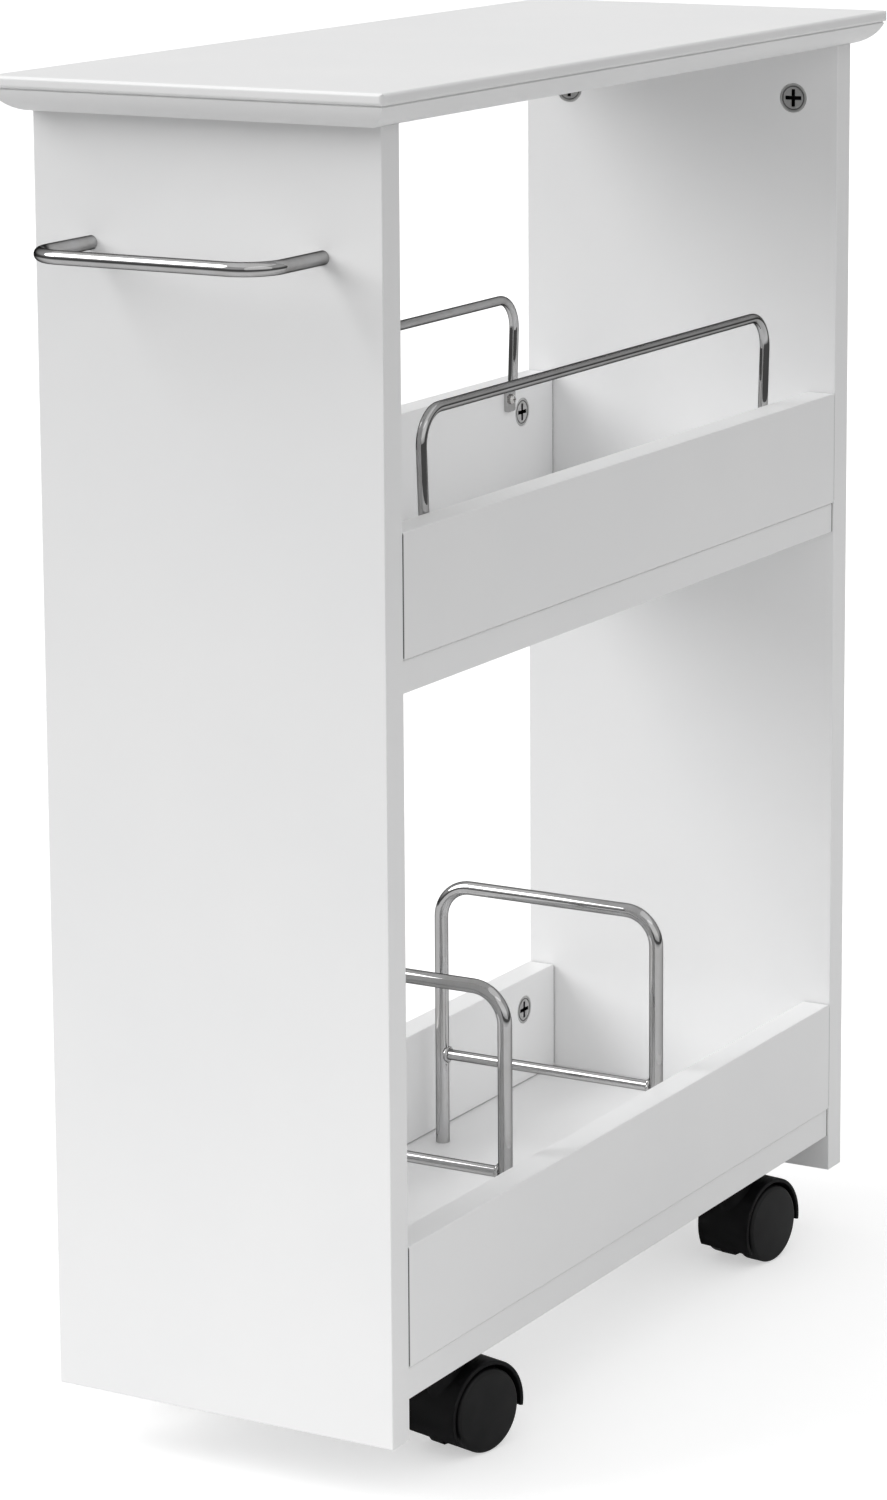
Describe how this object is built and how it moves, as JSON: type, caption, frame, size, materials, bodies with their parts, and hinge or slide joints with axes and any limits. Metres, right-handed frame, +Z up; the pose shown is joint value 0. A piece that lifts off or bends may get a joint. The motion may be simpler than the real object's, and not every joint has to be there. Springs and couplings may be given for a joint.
{
  "type": "rolling pantry cart",
  "caption": "Slim white rolling pantry cart: moulded top, railed shelves with wire guards and dividers, a towel bar and swivel casters.",
  "frame": {"origin": "on the floor under the middle of the cart's bounding box, towel bar included", "axes": "+Z up, +X the cart's right side, -Y the front end that carries the towel bar"},
  "size_m": [0.204, 0.5452, 0.643],
  "materials": {
    "white_paint": "satin white paint on fibreboard",
    "white_paint_top": "satin white paint on the moulded top",
    "chrome_wire": "bright chrome plate on steel rod",
    "nickel_screw": "nickel plate",
    "cam_zinc": "die-cast zinc",
    "zinc_plated_steel": "zinc plate",
    "caster_hood_plastic": "fine-textured black nylon",
    "caster_wheel_plastic": "satin black nylon",
    "beech_dowel": "bare beech"
  },
  "bodies": {
    "cart": {"caster_screws": "zinc_plated_steel", "divider_screws": "zinc_plated_steel", "front_divider": "chrome_wire", "front_end_panel": "white_paint", "front_left_caster_kingpin": "zinc_plated_steel", "front_left_caster_plate": "zinc_plated_steel", "front_right_caster_kingpin": "zinc_plated_steel", "front_right_caster_plate": "zinc_plated_steel", "guard_screws": "nickel_screw", "left_wire_guard": "chrome_wire", "lower_left_rail": "white_paint", "lower_right_rail": "white_paint", "lower_shelf": "white_paint", "rail_cam_bolts": "zinc_plated_steel", "rail_cam_locks": "cam_zinc", "rail_wood_dowels": "beech_dowel", "rear_divider": "chrome_wire", "rear_end_panel": "white_paint", "rear_left_caster_kingpin": "zinc_plated_steel", "rear_left_caster_plate": "zinc_plated_steel", "rear_right_caster_kingpin": "zinc_plated_steel", "rear_right_caster_plate": "zinc_plated_steel", "right_wire_guard": "chrome_wire", "shelf_cam_bolts": "zinc_plated_steel", "shelf_cam_locks": "cam_zinc", "shelf_wood_dowels": "beech_dowel", "top_board": "white_paint_top", "top_cam_bolts": "zinc_plated_steel", "top_cam_locks": "cam_zinc", "top_wood_dowels": "beech_dowel", "towel_bar": "chrome_wire", "towel_bar_screws": "zinc_plated_steel", "towel_bar_washers": "zinc_plated_steel", "upper_left_rail": "white_paint", "upper_right_rail": "white_paint", "upper_shelf": "white_paint"},
    "front_right_swivel": {"front_right_caster_hood": "caster_hood_plastic", "front_right_caster_axle": "zinc_plated_steel"},
    "front_right_left_wheel": {"front_right_caster_left_wheel": "caster_wheel_plastic"},
    "front_right_right_wheel": {"front_right_caster_right_wheel": "caster_wheel_plastic"},
    "rear_right_swivel": {"rear_right_caster_hood": "caster_hood_plastic", "rear_right_caster_axle": "zinc_plated_steel"},
    "rear_right_left_wheel": {"rear_right_caster_left_wheel": "caster_wheel_plastic"},
    "rear_right_right_wheel": {"rear_right_caster_right_wheel": "caster_wheel_plastic"},
    "front_left_swivel": {"front_left_caster_hood": "caster_hood_plastic", "front_left_caster_axle": "zinc_plated_steel"},
    "front_left_left_wheel": {"front_left_caster_left_wheel": "caster_wheel_plastic"},
    "front_left_right_wheel": {"front_left_caster_right_wheel": "caster_wheel_plastic"},
    "rear_left_swivel": {"rear_left_caster_hood": "caster_hood_plastic", "rear_left_caster_axle": "zinc_plated_steel"},
    "rear_left_left_wheel": {"rear_left_caster_left_wheel": "caster_wheel_plastic"},
    "rear_left_right_wheel": {"rear_left_caster_right_wheel": "caster_wheel_plastic"}
  },
  "joints": [
    {"name": "front_right_swivel", "type": "hinge", "parent": "cart", "child": "front_right_swivel", "pos_m": [0.07, -0.13637, 0.047], "axis": [0, 0, 1], "continuous": true},
    {"name": "front_right_left_wheel_spin", "type": "hinge", "parent": "front_right_swivel", "child": "front_right_left_wheel", "pos_m": [0.07323, -0.12378, 0.02], "axis": [0.9686, -0.2487, 0], "continuous": true},
    {"name": "front_right_right_wheel_spin", "type": "hinge", "parent": "front_right_swivel", "child": "front_right_right_wheel", "pos_m": [0.07323, -0.12378, 0.02], "axis": [0.9686, -0.2487, 0], "continuous": true},
    {"name": "rear_right_swivel", "type": "hinge", "parent": "cart", "child": "rear_right_swivel", "pos_m": [0.07, 0.16662, 0.047], "axis": [0, 0, 1], "continuous": true},
    {"name": "rear_right_left_wheel_spin", "type": "hinge", "parent": "rear_right_swivel", "child": "rear_right_left_wheel", "pos_m": [0.07194, 0.17948, 0.02], "axis": [0.9888, -0.1495, 0], "continuous": true},
    {"name": "rear_right_right_wheel_spin", "type": "hinge", "parent": "rear_right_swivel", "child": "rear_right_right_wheel", "pos_m": [0.07194, 0.17948, 0.02], "axis": [0.9888, -0.1495, 0], "continuous": true},
    {"name": "front_left_swivel", "type": "hinge", "parent": "cart", "child": "front_left_swivel", "pos_m": [-0.07, -0.13637, 0.047], "axis": [0, 0, 1], "continuous": true},
    {"name": "front_left_left_wheel_spin", "type": "hinge", "parent": "front_left_swivel", "child": "front_left_left_wheel", "pos_m": [-0.06797, -0.12354, 0.02], "axis": [0.9877, -0.1564, 0], "continuous": true},
    {"name": "front_left_right_wheel_spin", "type": "hinge", "parent": "front_left_swivel", "child": "front_left_right_wheel", "pos_m": [-0.06797, -0.12354, 0.02], "axis": [0.9877, -0.1564, 0], "continuous": true},
    {"name": "rear_left_swivel", "type": "hinge", "parent": "cart", "child": "rear_left_swivel", "pos_m": [-0.07, 0.16662, 0.047], "axis": [0, 0, 1], "continuous": true},
    {"name": "rear_left_left_wheel_spin", "type": "hinge", "parent": "rear_left_swivel", "child": "rear_left_left_wheel", "pos_m": [-0.0673, 0.17934, 0.02], "axis": [0.9781, -0.2079, 0], "continuous": true},
    {"name": "rear_left_right_wheel_spin", "type": "hinge", "parent": "rear_left_swivel", "child": "rear_left_right_wheel", "pos_m": [-0.0673, 0.17934, 0.02], "axis": [0.9781, -0.2079, 0], "continuous": true}
  ]
}
